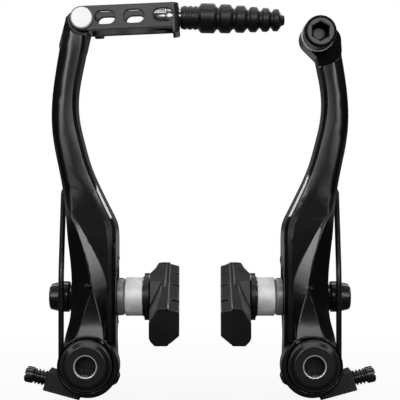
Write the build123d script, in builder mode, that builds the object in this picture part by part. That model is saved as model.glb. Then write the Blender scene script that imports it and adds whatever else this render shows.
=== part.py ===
# A linear-pull rim brake for a bicycle: two forged arms on their pivots, each with its shoe.
# Frame: X to the right, Y away from the viewer towards the bicycle frame, Z up, millimetres.
# The origin is midway between the two pivot axes, which run along Y.
import os
from math import cos, radians, sin, sqrt

from build123d import *

os.makedirs("parts", exist_ok=True)

# Driving dimensions. A place in the view is given as the distance out from the middle and the height.
PIVOT_SPACING = 70.0
LINK_PIN_HEIGHT = 107.8
CLAMP_BOLT_HEIGHT = 102.8
PIVOT_OUT = PIVOT_SPACING / 2
SIDES = {"left": -1, "right": 1}
TURNING_PLAY = 0.1
SEAM = 0.2

# Pivot boss and the hardware on the frame's post, as Y limits and radii
BOSS_FRONT = -11.0
BOSS_REAR = 5.0
BOSS_PLACE = (34.5, -0.5)
BOSS_RADIUS = 9.5
NECK_FRONT = -4.6
NECK_RADIUS = 7.7
CAP_POCKET_RADIUS = 8.35
CAP_POCKET_FLOOR = -8.1
BUSHING_BORE = 4.2
BUSHING_RADIUS = 5.4
BUSHING_FRONT = -8.3
BUSHING_REAR = 11.6
CAP_RADIUS = 8.1
CAP_FRONT = -13.0
CAP_BEVEL = (7.5, -11.6)
CAP_FACE_RADIUS = 6.2
BOLT_SHANK_RADIUS = 3.0
BOLT_SHANK_REAR = 8.0
HEX_SIZE = 5.0
SOCKET_DEPTH = 4.2
SOCKET_RIM = 3.45

# Spring holder: a ring on the bushing, a block for the screw and a web between them
HOLDER_FRONT = 5.3
HOLDER_REAR = 11.0
HOLDER_RADIUS = 8.0
HOLDER_ROOM = 11.6
NECK_CLEARANCE = 0.4
BLOCK_FRONT = -4.2
BLOCK_REAR = 2.4
BLOCK_CORNERS = [(49.6, -9.0), (47.7, -2.8), (45.2, -3.7), (40.0, -6.5), (38.0, -12.2)]
WEB_CORNERS = [(46.5, -9.6), (45.0, -5.6), (39.5, -3.0), (37.0, -11.0)]
STOPPER_RADIUS = 1.25
STOPPER_REAR = 15.5
STOPPER_PLACE = (28.8, -7.0)
STOPPER_CHAMFER = 0.3
LOBE_RADIUS = 2.4

# Tension screw, as distances along its own axis
SCREW_POINT = (47.0, -6.2)
SCREW_TILT = 13.5
SCREW_Y = -1.2
SCREW_RADIUS = 2.4
SCREW_HEAD_RADIUS = 2.55
SCREW_HEAD = (5.9, 8.7)
SCREW_TIP = -1.4
SCREW_TIP_CHAMFER = 0.5
SCREW_HEAD_ROUND = 0.8
SCREW_SLOT = (0.9, 1.2)

# Return spring: up from the holder, back behind the bar and hooked on the lug
WIRE_RADIUS = 0.9
WIRE_OUT = 44.0
WIRE_Y = -2.2
WIRE_FOOT = -9.5
WIRE_BEND = 27.0
WIRE_HOOK_Y = 8.6
WIRE_HOOK = [(44.8, 54.5), (38.8, 57.4), (38.8, 62.5)]
WIRE_RADII = [22.0, 2.6, 2.2]
LUG_PLACE = (41.4, 60.3)
LUG_RADIUS = 1.4
LUG_REAR = 10.6

# Shoe: its hardware is round about the stud's axis, which runs along X
STUD_Y = 4.5
STUD_HEIGHT = 19.6
STUD_RADIUS = 3.0
WASHER_BORE = 3.2
ARM_INNER_FACE = 26.5
ARM_OUTER_FACE = 40.1
SLOT_LENGTH = 15.0
SLOT_WIDTH = 6.4
SLOT_HEIGHT = 22.0
FLAT_MARGIN = 1.2
PAD_WASHER_RADIUS = 6.5
SPACER_BACK = ARM_INNER_FACE - 2.5
SPACER_RADIUS = 6.2
DOME_RADIUS = 6.05
DOME_RIM = 1.7
DOME_NOSE_RADIUS = 5.2
OUTER_WASHER_RADIUS = 4.95
OUTER_RIM = 0.7
OUTER_NOSE_RADIUS = 4.2
CUP_FRONT = ARM_OUTER_FACE + 2.1
CUP_BACK = CUP_FRONT + 2.0
NUT_RADIUS = 4.7
NUT_SHOULDER = CUP_BACK + 1.2
NUT_TIP_RADIUS = 4.15
NUT_CHAMFER = 0.4
STUD_END = CUP_BACK + 2.2
NUT_THREAD_END = CUP_BACK + 2.4
NUT_END = CUP_BACK + 4.2

# Brake pad: distances out from the middle, and along the pad from the stud
PAD_FACE = 6.7
PAD_BLOCK_BACK = 9.9
PAD_HOLE_END = 11.0
PAD_HUB_RADIUS = 4.0
PAD_FLANGE_FRONT = 16.2
PAD_FLANGE_BACK = 17.8
PAD_WASHER_BACK = PAD_FLANGE_BACK + 0.5
PAD_FLANGE_RADIUS = 7.6
PAD_LENGTH = 70.0
HALF_LENGTH = PAD_LENGTH / 2
PAD_HEIGHT = 11.2
PAD_SAG = 1.0
PAD_TILT = 6.85
PAD_TOE = 1.25
PAD_PLAN = [
    (-HALF_LENGTH, 15.0),
    (-33.6, 15.5),
    (-9.0, 16.0),
    (9.0, 15.9),
    (33.5, 14.2),
    (HALF_LENGTH, 13.3),
]
PAD_BEVELS = [
    [(13.4, -7.0), (16.4, -7.0), (16.4, -3.8)],
    [(4.5, -7.0), (10.8, -7.0), (4.5, -2.1)],
]
SADDLE_PLAN = [
    (PAD_HOLE_END, -12.0),
    (16.1, -12.0),
    (16.2, 1.0),
    (15.3, 5.5),
    (14.2, 14.0),
    (13.0, 31.0),
    (PAD_HOLE_END, 31.0),
]
SADDLE_SIDE = [
    (-12.0, -5.0),
    (-12.0, 5.4),
    (-6.0, 6.4),
    (2.0, 7.6),
    (8.0, 7.6),
    (31.0, 4.9),
    (31.0, -5.0),
]
NEAR_BEVEL = [(10.6, 9.0), (17.4, 9.0), (17.4, -4.0)]
NEAR_BEVEL_END = -8.0
NEAR_BEVEL_LEAN = 22.0
BLOCK_HEIGHT = 10.1
BLOCK_TAPER = 14.0
GROOVE_PLACES = [-22.0, -2.0, 18.0]
GROOVE_WIDTH = 1.7
GROOVE_DEPTH = 2.3
GROOVE_LEAN = 14.0

# Link, its pin, the lead's ferrule and the boot, along the link from its pin or along the boot
LINK_DEPTH = 11.5
LINK_SHEET = 1.5
LINK_HALF_HEIGHT = 3.9
LINK_SLOPE = 2.5
LINK_END = -6.6
LINK_BEND = 2.3
LINK_SLOTS = [7.2, 16.3, 25.5]
LINK_SLOT_SIZE = (6.3, 4.1)
LINK_FOOT = 5.4
TAB_PLACE = (4.2, -3.5)
TAB_SIZE = (3.0, 2.4)
TAB_ROUND = 0.4
PLATE_GAP = LINK_DEPTH / 2 - LINK_SHEET
PIN_RADIUS = 2.0
PIN_HEAD_RADIUS = 3.4
PIN_HEAD_BACK = -LINK_DEPTH / 2 - TURNING_PLAY
PIN_HEAD_FRONT = -7.0
PIN_REAR = 7.0
PIN_TAIL_RADIUS = 3.0
PIN_CHAMFER = 0.3
FERRULE_RADIUS = 2.9
FERRULE_BORE = 1.3
FERRULE_START = -4.4
FERRULE_FLANGE_END = -1.85
FERRULE_FLANGE_RADIUS = 3.3
FERRULE_END = 4.2
BOOT_SLOPE = -1.6
BOOT_START = 0.5
BOOT_GROOVE = 0.85
BOOT_ROUND = 0.55
BOOT_TIP = (33.6, 1.6)
BOOT_BORE = 1.0
# Lobes of the boot: start and end along its axis, and radius
BOOT_LOBES = [
    (1.0, 2.4, 4.3),
    (2.8, 4.2, 4.3),
    (4.6, 5.9, 4.3),
    (6.1, 12.0, 4.85),
    (12.4, 16.8, 4.5),
    (17.4, 21.9, 4.3),
    (22.2, 25.8, 4.05),
    (26.4, 29.3, 3.8),
    (29.6, 32.5, 3.55),
]

# Cable clamp on the right arm
CLAMP_FACE = -3.4
CLAMP_WASHER_FRONT = -5.0
CLAMP_WASHER_RADIUS = 5.2
CLAMP_HEAD_FRONT = -11.0
CLAMP_HEAD_RADIUS = 5.0
CLAMP_HEAD_ROUND = 0.6
CLAMP_SOCKET_CHAMFER = 0.4
CLAMP_BOLT_REAR = 8.0

# Tops of the arms: the eye, and the circles that the bar's end is wrapped round (out, height, radius)
EYE_PLACE = {"left": (37.0, LINK_PIN_HEIGHT), "right": (37.1, CLAMP_BOLT_HEIGHT)}
EYE_RADIUS = {"left": 4.3, "right": 5.0}
EYE_FRONT = {"left": SEAM - PLATE_GAP, "right": CLAMP_FACE}
EYE_REAR = {"left": PLATE_GAP - SEAM, "right": LINK_DEPTH / 2}
EYE_BORE = {"left": PIN_RADIUS, "right": STUD_RADIUS}
EYE_RECESS = {"left": 5.0, "right": 9.8}
END_CIRCLES = {
    "left": [(38.6, LINK_PIN_HEIGHT - 1.2, 4.0), (40.3, LINK_PIN_HEIGHT - 8.3, 4.1)],
    "right": [
        (37.1, CLAMP_BOLT_HEIGHT, 5.0),
        (40.5, CLAMP_BOLT_HEIGHT - 1.3, 4.1),
        (40.7, CLAMP_BOLT_HEIGHT - 4.8, 4.1),
    ],
}

# Sections of the forged arm. Each has its height, outer and inner edge, the Y of the flat face and of
# the back, the undercut behind the outer edge, the crest (outer and inner side, Y, how far its outer side
# falls away), the valley beside the crest and the start of the rounded inner edge (place, depth). Those of
# the bar above the shoulder give their height as a share of the way from the shoulder to the link's pin.
SHOULDER_HEIGHT = 43.5
FOOT_SECTIONS = [
    (-4.0, 41.4, 27.6, -6.8, 4.4, 2.4, (39.0, 30.8, -10.3, 0.0), 30.2, (29.9, 0.0)),
    (1.0, 42.7, 26.2, -6.8, 4.6, 2.4, (39.8, 29.8, -10.7, 0.0), 28.9, (28.6, 0.0)),
    (8.5, 42.3, 26.4, -6.8, 4.8, 1.3, (38.3, 29.5, -10.75, 0.0), 28.9, (28.6, 0.0)),
    (11.0, 41.6, 26.4, -6.8, 6.4, 0.8, (37.4, 29.9, -9.95, 0.0), 28.9, (28.6, 0.0)),
    (14.0, 40.9, 26.4, -6.8, 9.0, 0.4, (36.5, 30.7, -9.3, 0.0), 28.9, (28.6, 0.0)),
    (19.0, 40.5, 26.4, -6.8, 11.0, 0.3, (35.0, 32.2, -8.95, 0.0), 28.9, (28.6, 0.0)),
    (23.5, 40.4, 26.4, -6.8, 11.0, 0.3, (33.75, 33.45, -8.8, 0.0), 28.9, (28.6, 0.0)),
    (29.0, 40.6, 26.4, -6.8, 11.0, 0.3, (34.65, 34.35, -8.3, 0.0), 30.2, (28.7, 0.0)),
    (34.0, 41.1, 26.4, -6.8, 10.8, 0.3, (35.95, 35.65, -7.85, 0.0), 32.5, (28.8, 0.0)),
    (39.5, 41.7, 26.4, -6.75, 10.2, 0.3, (37.7, 37.4, -7.35, 0.0), 35.6, (29.0, 0.05)),
    (SHOULDER_HEIGHT, 42.0, 26.9, -6.7, 9.5, 0.3, (39.2, 38.9, -6.95, 0.0), 37.9, (29.8, 0.15)),
]
BAR_SECTIONS = [
    (0.0544, 42.3, 28.4, -6.6, 8.8, 0.3, (41.0, 40.0, -6.64, 0.3), 38.9, (31.4, 0.1)),
    (0.1477, 43.0, 31.3, -6.5, 7.8, 0.3, (41.8, 40.2, -6.38, 0.7), 36.6, (33.7, 0.12)),
    (0.2722, 44.5, 34.8, -6.3, 6.9, 0.3, (43.3, 41.7, -6.18, 0.7), 39.2, (37.2, 0.12)),
    (0.3966, 46.1, 37.1, -6.1, 6.3, 0.3, (44.9, 43.3, -5.98, 0.7), 41.1, (39.5, 0.12)),
    (0.521, 46.8, 38.8, -5.9, 5.9, 0.3, (45.6, 44.0, -5.78, 0.7), 42.4, (41.2, 0.12)),
    (0.6454, 46.4, 38.9, -5.75, 5.75, 0.3, (45.2, 43.6, -5.63, 0.7), 42.3, (41.3, 0.12)),
    (0.7854, 45.1, 37.3, -5.75, 5.75, 0.3, (43.9, 42.3, -5.63, 0.7), 40.8, (39.7, 0.12)),
    (0.9098, 43.8, 36.0, -5.75, 5.75, 0.3, (42.6, 41.0, -5.63, 0.7), 39.5, (38.4, 0.12)),
    (1.0653, 42.2, 34.4, -5.75, 5.75, 0.3, (41.0, 39.4, -5.63, 0.7), 37.9, (36.8, 0.12)),
]
OUTER_DROP = 2.4
INNER_DROP = 1.9
RIDGE_WIDTH = 1.0
RIDGE_DROP = 0.5
REAR_BEVEL = 2.4
UNDERCUT_DEPTH = 6.0


def facing(y):
    """Plane across the view at this depth; its sketches are in X and Z, and it extrudes to the viewer."""
    return Plane(origin=(0, y, 0), x_dir=(1, 0, 0), z_dir=(0, -1, 0))


def placed(side, places):
    """Places in the view, given as distance out and height, on one side of the middle."""
    return [(side * out, height) for out, height in places]


def pivot_plane(side):
    """Plane through the pivot's axis: sketch x is the radius, y runs along the axis."""
    return Plane(origin=(side * PIVOT_OUT, 0, 0), x_dir=(1, 0, 0), z_dir=(0, 0, 1))


def pivot_axis(side):
    return Axis((side * PIVOT_OUT, 0, 0), (0, 1, 0))


def screw_plane(side, along):
    """Plane across the tension screw's axis, this far out along it from the screw's point."""
    run = (side * cos(radians(SCREW_TILT)), 0, sin(radians(SCREW_TILT)))
    origin = (side * SCREW_POINT[0] + along * run[0], SCREW_Y, SCREW_POINT[1] + along * run[2])
    return Plane(origin=origin, x_dir=(0, 1, 0), z_dir=run)


def stud_plane(side):
    """Plane through the stud's axis: sketch x runs outwards along the stud, y is the radius."""
    return Plane(origin=(0, STUD_Y, STUD_HEIGHT), x_dir=(side, 0, 0), z_dir=(0, -1, 0))


def stud_axis(side):
    return Axis((0, STUD_Y, STUD_HEIGHT), (side, 0, 0))


def across_stud(side, out):
    """Plane across the stud at this distance from the middle; it extrudes outwards."""
    return Plane(origin=(side * out, STUD_Y, STUD_HEIGHT), x_dir=(0, side, 0), z_dir=(side, 0, 0))


def pad_directions(side):
    """The pad's own directions: along it from the near end, up it, and outwards from the rim."""
    tilt = radians(PAD_TILT)
    toe = radians(PAD_TOE)
    along = Vector(side * sin(toe), cos(toe) * cos(tilt), cos(toe) * sin(tilt))
    up = Vector(0, -sin(tilt), cos(tilt))
    outward = Vector(side * cos(toe), -sin(toe) * cos(tilt), -sin(toe) * sin(tilt))
    return along, up, outward


def pad_zero(side):
    """The point that the pad's distances out are measured from."""
    outward = pad_directions(side)[2]
    return Vector(side * PAD_FLANGE_BACK, STUD_Y, STUD_HEIGHT) - outward * PAD_FLANGE_BACK


def pad_face_plane(side, out):
    """Plane along the braking face at this distance out; x runs along the pad, y is up it."""
    along, _, outward = pad_directions(side)
    return Plane(origin=pad_zero(side) + outward * out, x_dir=along * side, z_dir=outward)


def pad_top_plane(side, height):
    """Plane along the pad seen from above, this far above the stud's axis; x runs outwards."""
    _, up, outward = pad_directions(side)
    return Plane(origin=pad_zero(side) + up * height, x_dir=outward, z_dir=up)


def pad_end_plane(side, place, lean=0):
    """Plane across the pad at this place along it, leaning back by an angle; x runs outwards, y is up."""
    along, up, outward = pad_directions(side)
    facing_near = up * sin(radians(lean)) - along * cos(radians(lean))
    return Plane(origin=pad_zero(side) + along * place, x_dir=outward, z_dir=facing_near * side)


def link_plane(y):
    """Plane across the view at this depth with its origin on the link's pin and x along the link."""
    slope = radians(LINK_SLOPE)
    out, height = EYE_PLACE["left"]
    return Plane(origin=(-out, y, height), x_dir=(cos(slope), 0, sin(slope)), z_dir=(0, -1, 0))


def link_plan_plane(up):
    """Plane along the link, square to the view, this far above the link's axis."""
    slope = radians(LINK_SLOPE)
    out, height = EYE_PLACE["left"]
    rise = (-sin(slope), 0, cos(slope))
    origin = (-out + up * rise[0], 0, height + up * rise[2])
    return Plane(origin=origin, x_dir=(cos(slope), 0, sin(slope)), z_dir=rise)


LINK_LENGTH = (LINK_END + EYE_PLACE["left"][0]) / cos(radians(LINK_SLOPE))
BOOT_ORIGIN = (LINK_END, 0, LINK_PIN_HEIGHT + LINK_LENGTH * sin(radians(LINK_SLOPE)))
BOOT_RUN = (cos(radians(BOOT_SLOPE)), 0, sin(radians(BOOT_SLOPE)))


def boot_plane():
    """Plane through the boot's axis from the link's end wall; x runs along the boot, y is the radius."""
    return Plane(origin=BOOT_ORIGIN, x_dir=BOOT_RUN, z_dir=(0, -1, 0))


def boot_axis():
    return Axis(BOOT_ORIGIN, BOOT_RUN)


def seat_center(x0, r0, x1, r1):
    """Where a sphere through two points of a profile, (x0, r0) and (x1, r1), has its centre on the axis."""
    return (x1**2 + r1**2 - x0**2 - r0**2) / (2 * (x1 - x0))


def seat_end(x0, r0, x1, r1, radius):
    """Where that sphere comes down to this radius, on the side of the second point."""
    center = seat_center(x0, r0, x1, r1)
    reach = sqrt((x0 - center) ** 2 + r0**2 - radius**2)
    return center + reach if x1 > x0 else center - reach


def arm_sections():
    """All sections from the boss up, each with its height."""
    bar_length = LINK_PIN_HEIGHT - SHOULDER_HEIGHT
    return FOOT_SECTIONS + [(SHOULDER_HEIGHT + share * bar_length, *rest) for share, *rest in BAR_SECTIONS]


def arm_outline(side, outer, inner, face, back, undercut, crest, valley, hollow):
    """The eleven corners of one section, from the rear outer bevel round by the front."""
    crest_outer, crest_inner, crest_y, fall = crest
    corners = [
        (outer - undercut - REAR_BEVEL, back),
        (outer - undercut, min(back - REAR_BEVEL, face + UNDERCUT_DEPTH)),
        (outer, face + OUTER_DROP),
        (crest_outer, crest_y + fall),
        (crest_inner, crest_y),
        (valley, face),
        (hollow[0], face + hollow[1]),
        (inner + RIDGE_WIDTH, face + RIDGE_DROP),
        (inner, face + INNER_DROP),
        (inner, back - REAR_BEVEL),
        (inner + REAR_BEVEL, back),
    ]
    return [(side * out, y) for out, y in corners]


for name, side in SIDES.items():
    pivot = (side * PIVOT_OUT, 0)
    eye = (side * EYE_PLACE[name][0], EYE_PLACE[name][1])
    with BuildSketch(facing(0)) as top:
        with BuildLine():
            for out, height, radius in END_CIRCLES[name]:
                CenterArc((side * out, height), radius, 0, 360)
        make_hull()
        with Locations(eye):
            Circle(EYE_RADIUS[name])
    with BuildPart() as arm:
        for height, *section in arm_sections():
            with BuildSketch(Plane.XY.offset(height)):
                with BuildLine():
                    Polyline(*arm_outline(side, *section), close=True)
                make_face()
        loft()
        # The top of the bar is trimmed to the outline of the eye.
        with BuildSketch(facing(4 * BOSS_REAR)):
            add(top.sketch_local)
            with Locations((side * PIVOT_OUT, END_CIRCLES[name][-1][1])):
                Rectangle(PIVOT_OUT, 2 * LINK_PIN_HEIGHT, align=(Align.CENTER, Align.MAX))
        extrude(amount=8 * BOSS_REAR, mode=Mode.INTERSECT)
        # The recess round the eye lets the link's cheeks or the clamp lie within the bar.
        with BuildSketch(facing(EYE_FRONT[name])):
            with Locations(eye):
                Circle(EYE_RECESS[name])
        extrude(amount=LINK_DEPTH, mode=Mode.SUBTRACT)
        with BuildSketch(facing(EYE_REAR[name])):
            with Locations(eye):
                Circle(EYE_RECESS[name])
        extrude(amount=-LINK_DEPTH, mode=Mode.SUBTRACT)
        with BuildSketch(facing(EYE_REAR[name])):
            add(top.sketch_local)
        extrude(amount=EYE_REAR[name] - EYE_FRONT[name])
        with BuildSketch(facing(EYE_REAR[name])):
            with Locations(eye):
                Circle(EYE_BORE[name])
        extrude(amount=EYE_REAR[name] - EYE_FRONT[name], mode=Mode.SUBTRACT)
        # The pivot boss with its pocket for the bolt's cap, and room behind it for the spring holder
        with BuildSketch(facing(NECK_FRONT)):
            with Locations(placed(side, [BOSS_PLACE])[0]):
                Circle(BOSS_RADIUS)
        extrude(amount=NECK_FRONT - BOSS_FRONT)
        with BuildSketch(facing(BOSS_REAR)):
            with Locations(pivot):
                Circle(NECK_RADIUS)
        extrude(amount=BOSS_REAR - BOSS_FRONT)
        with BuildSketch(facing(4 * BOSS_REAR)):
            with Locations(pivot):
                Circle(HOLDER_ROOM)
        extrude(amount=3 * BOSS_REAR, mode=Mode.SUBTRACT)
        with BuildSketch(facing(CAP_POCKET_FLOOR)):
            with Locations(pivot):
                Circle(CAP_POCKET_RADIUS)
        extrude(amount=CAP_POCKET_FLOOR - CAP_FRONT, mode=Mode.SUBTRACT)
        with BuildSketch(facing(BOSS_REAR)):
            with Locations(pivot):
                Circle(BUSHING_RADIUS + TURNING_PLAY)
        extrude(amount=BOSS_REAR - BOSS_FRONT, mode=Mode.SUBTRACT)
        # The shoe's slot and the two flats that its washers slide on
        with BuildSketch(Plane.YZ.offset(side * PIVOT_OUT)):
            with Locations((STUD_Y, SLOT_HEIGHT)):
                SlotOverall(SLOT_LENGTH, SLOT_WIDTH, rotation=90)
        extrude(amount=PIVOT_OUT / 2, both=True, mode=Mode.SUBTRACT)
        with BuildSketch(Plane.YZ.offset(side * ARM_OUTER_FACE)):
            with Locations((STUD_Y, SLOT_HEIGHT)):
                SlotOverall(SLOT_LENGTH + SLOT_WIDTH, 2 * OUTER_WASHER_RADIUS + FLAT_MARGIN, rotation=90)
        extrude(amount=side * PIVOT_OUT / 2, mode=Mode.SUBTRACT)
        with BuildSketch(Plane.YZ.offset(side * ARM_INNER_FACE)):
            with Locations((STUD_Y, SLOT_HEIGHT)):
                SlotOverall(SLOT_LENGTH + SLOT_WIDTH, 2 * DOME_RADIUS + FLAT_MARGIN, rotation=90)
        extrude(amount=-side * PIVOT_OUT / 4, mode=Mode.SUBTRACT)
        # The lug behind the bar that the spring pushes on
        with BuildSketch(facing(LUG_REAR)):
            with Locations(placed(side, [LUG_PLACE])[0]):
                Circle(LUG_RADIUS)
        extrude(amount=LUG_REAR)
    arm.part.label = f"{name}_arm"
    export_step(arm.part, f"parts/{name}_arm.step")

for name, side in SIDES.items():
    with BuildPart() as bushing:
        with BuildSketch(facing(BUSHING_REAR)):
            with Locations((side * PIVOT_OUT, 0)):
                Circle(BUSHING_RADIUS)
                Circle(BUSHING_BORE, mode=Mode.SUBTRACT)
        extrude(amount=BUSHING_REAR - BUSHING_FRONT)
    bushing.part.label = f"{name}_pivot_bushing"
    export_step(bushing.part, f"parts/{name}_pivot_bushing.step")

for name, side in SIDES.items():
    rim_depth = SOCKET_RIM - HEX_SIZE / 2
    with BuildPart() as bolt:
        with BuildSketch(pivot_plane(side)):
            with BuildLine():
                Polyline(
                    (0, CAP_FRONT),
                    (CAP_FACE_RADIUS, CAP_FRONT),
                    CAP_BEVEL,
                    (CAP_RADIUS, CAP_BEVEL[1]),
                    (CAP_RADIUS, BUSHING_FRONT),
                    (BOLT_SHANK_RADIUS, BUSHING_FRONT),
                    (BOLT_SHANK_RADIUS, BOLT_SHANK_REAR),
                    (0, BOLT_SHANK_REAR),
                    close=True,
                )
            make_face()
        revolve(axis=pivot_axis(side))
        with BuildSketch(facing(CAP_FRONT)):
            with Locations((side * PIVOT_OUT, 0)):
                RegularPolygon(HEX_SIZE / 2, 6, major_radius=False)
        extrude(amount=-SOCKET_DEPTH, mode=Mode.SUBTRACT)
        # The cone at the mouth of the socket
        with BuildSketch(pivot_plane(side)):
            with BuildLine():
                Polyline((0, CAP_FRONT), (SOCKET_RIM, CAP_FRONT), (0, CAP_FRONT + SOCKET_RIM), close=True)
            make_face()
            with Locations((0, CAP_FRONT + rim_depth)):
                Rectangle(SOCKET_RIM, SOCKET_RIM, align=(Align.MIN, Align.MIN), mode=Mode.SUBTRACT)
        revolve(axis=pivot_axis(side), mode=Mode.SUBTRACT)
    bolt.part.label = f"{name}_pivot_bolt"
    export_step(bolt.part, f"parts/{name}_pivot_bolt.step")

for name, side in SIDES.items():
    pivot = (side * PIVOT_OUT, 0)
    stopper_place = placed(side, [STOPPER_PLACE])[0]
    with BuildPart() as holder:
        with BuildSketch(facing(BLOCK_REAR)):
            with BuildLine():
                Polyline(*placed(side, BLOCK_CORNERS), close=True)
            make_face()
        extrude(amount=BLOCK_REAR - BLOCK_FRONT)
        with BuildSketch(facing(HOLDER_REAR)):
            with BuildLine():
                Polyline(*placed(side, WEB_CORNERS), close=True)
            make_face()
        extrude(amount=HOLDER_REAR - BLOCK_REAR)
        with BuildSketch(facing(HOLDER_FRONT)):
            with Locations(pivot):
                Circle(NECK_RADIUS + NECK_CLEARANCE)
        extrude(amount=HOLDER_FRONT - BOSS_FRONT, mode=Mode.SUBTRACT)
        with BuildSketch(facing(HOLDER_REAR)):
            with Locations(pivot):
                Circle(HOLDER_RADIUS)
            with Locations(stopper_place):
                Circle(LOBE_RADIUS)
        extrude(amount=HOLDER_REAR - HOLDER_FRONT)
        with BuildSketch(facing(HOLDER_REAR)):
            with Locations(pivot):
                Circle(BUSHING_RADIUS)
        extrude(amount=HOLDER_REAR - HOLDER_FRONT, mode=Mode.SUBTRACT)
        with BuildSketch(facing(HOLDER_REAR)):
            with Locations(stopper_place):
                Circle(STOPPER_RADIUS)
        extrude(amount=(HOLDER_REAR - HOLDER_FRONT) / 2, mode=Mode.SUBTRACT)
        with BuildSketch(screw_plane(side, SCREW_TIP - WIRE_RADIUS)):
            Circle(SCREW_RADIUS + TURNING_PLAY)
        extrude(amount=SCREW_HEAD[1], mode=Mode.SUBTRACT)
        with BuildSketch(Plane.XY.offset(WIRE_FOOT)):
            with Locations((side * WIRE_OUT, WIRE_Y)):
                Circle(WIRE_RADIUS)
        extrude(amount=PIVOT_OUT, mode=Mode.SUBTRACT)
    holder.part.label = f"{name}_spring_holder"
    export_step(holder.part, f"parts/{name}_spring_holder.step")

for name, side in SIDES.items():
    with BuildPart() as stopper:
        with BuildSketch(facing(STOPPER_REAR)):
            with Locations(placed(side, [STOPPER_PLACE])[0]):
                Circle(STOPPER_RADIUS)
        extrude(amount=STOPPER_REAR - (HOLDER_REAR + HOLDER_FRONT) / 2)
        chamfer(stopper.faces().sort_by(Axis.Y)[-1].edges(), STOPPER_CHAMFER)
    stopper.part.label = f"{name}_stopper_pin"
    export_step(stopper.part, f"parts/{name}_stopper_pin.step")

for name, side in SIDES.items():
    with BuildPart() as screw:
        with BuildSketch(screw_plane(side, SCREW_TIP)):
            Circle(SCREW_RADIUS)
        extrude(amount=SCREW_HEAD[0] - SCREW_TIP)
        chamfer(screw.edges().sort_by(Axis.X)[0 if side > 0 else -1], SCREW_TIP_CHAMFER)
        with BuildSketch(screw_plane(side, SCREW_HEAD[0])):
            Circle(SCREW_HEAD_RADIUS)
        extrude(amount=SCREW_HEAD[1] - SCREW_HEAD[0])
        fillet(screw.edges().sort_by(Axis.X)[-1 if side > 0 else 0], SCREW_HEAD_ROUND)
        with BuildSketch(screw_plane(side, SCREW_HEAD[1])):
            Rectangle(2 * SCREW_HEAD_RADIUS, SCREW_SLOT[0])
        extrude(amount=-SCREW_SLOT[1], mode=Mode.SUBTRACT)
    screw.part.label = f"{name}_tension_screw"
    export_step(screw.part, f"parts/{name}_tension_screw.step")

for name, side in SIDES.items():
    route = [(WIRE_OUT, WIRE_Y, WIRE_FOOT), (WIRE_OUT, WIRE_Y, WIRE_BEND)]
    route += [(out, WIRE_HOOK_Y, z) for out, z in WIRE_HOOK]
    with BuildPart() as spring:
        with BuildLine():
            FilletPolyline(*[(side * out, y, z) for out, y, z in route], radius=WIRE_RADII)
        with BuildSketch(Plane.XY.offset(WIRE_FOOT)):
            with Locations((side * WIRE_OUT, WIRE_Y)):
                Circle(WIRE_RADIUS)
        sweep()
    spring.part.label = f"{name}_return_spring"
    export_step(spring.part, f"parts/{name}_return_spring.step")

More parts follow.
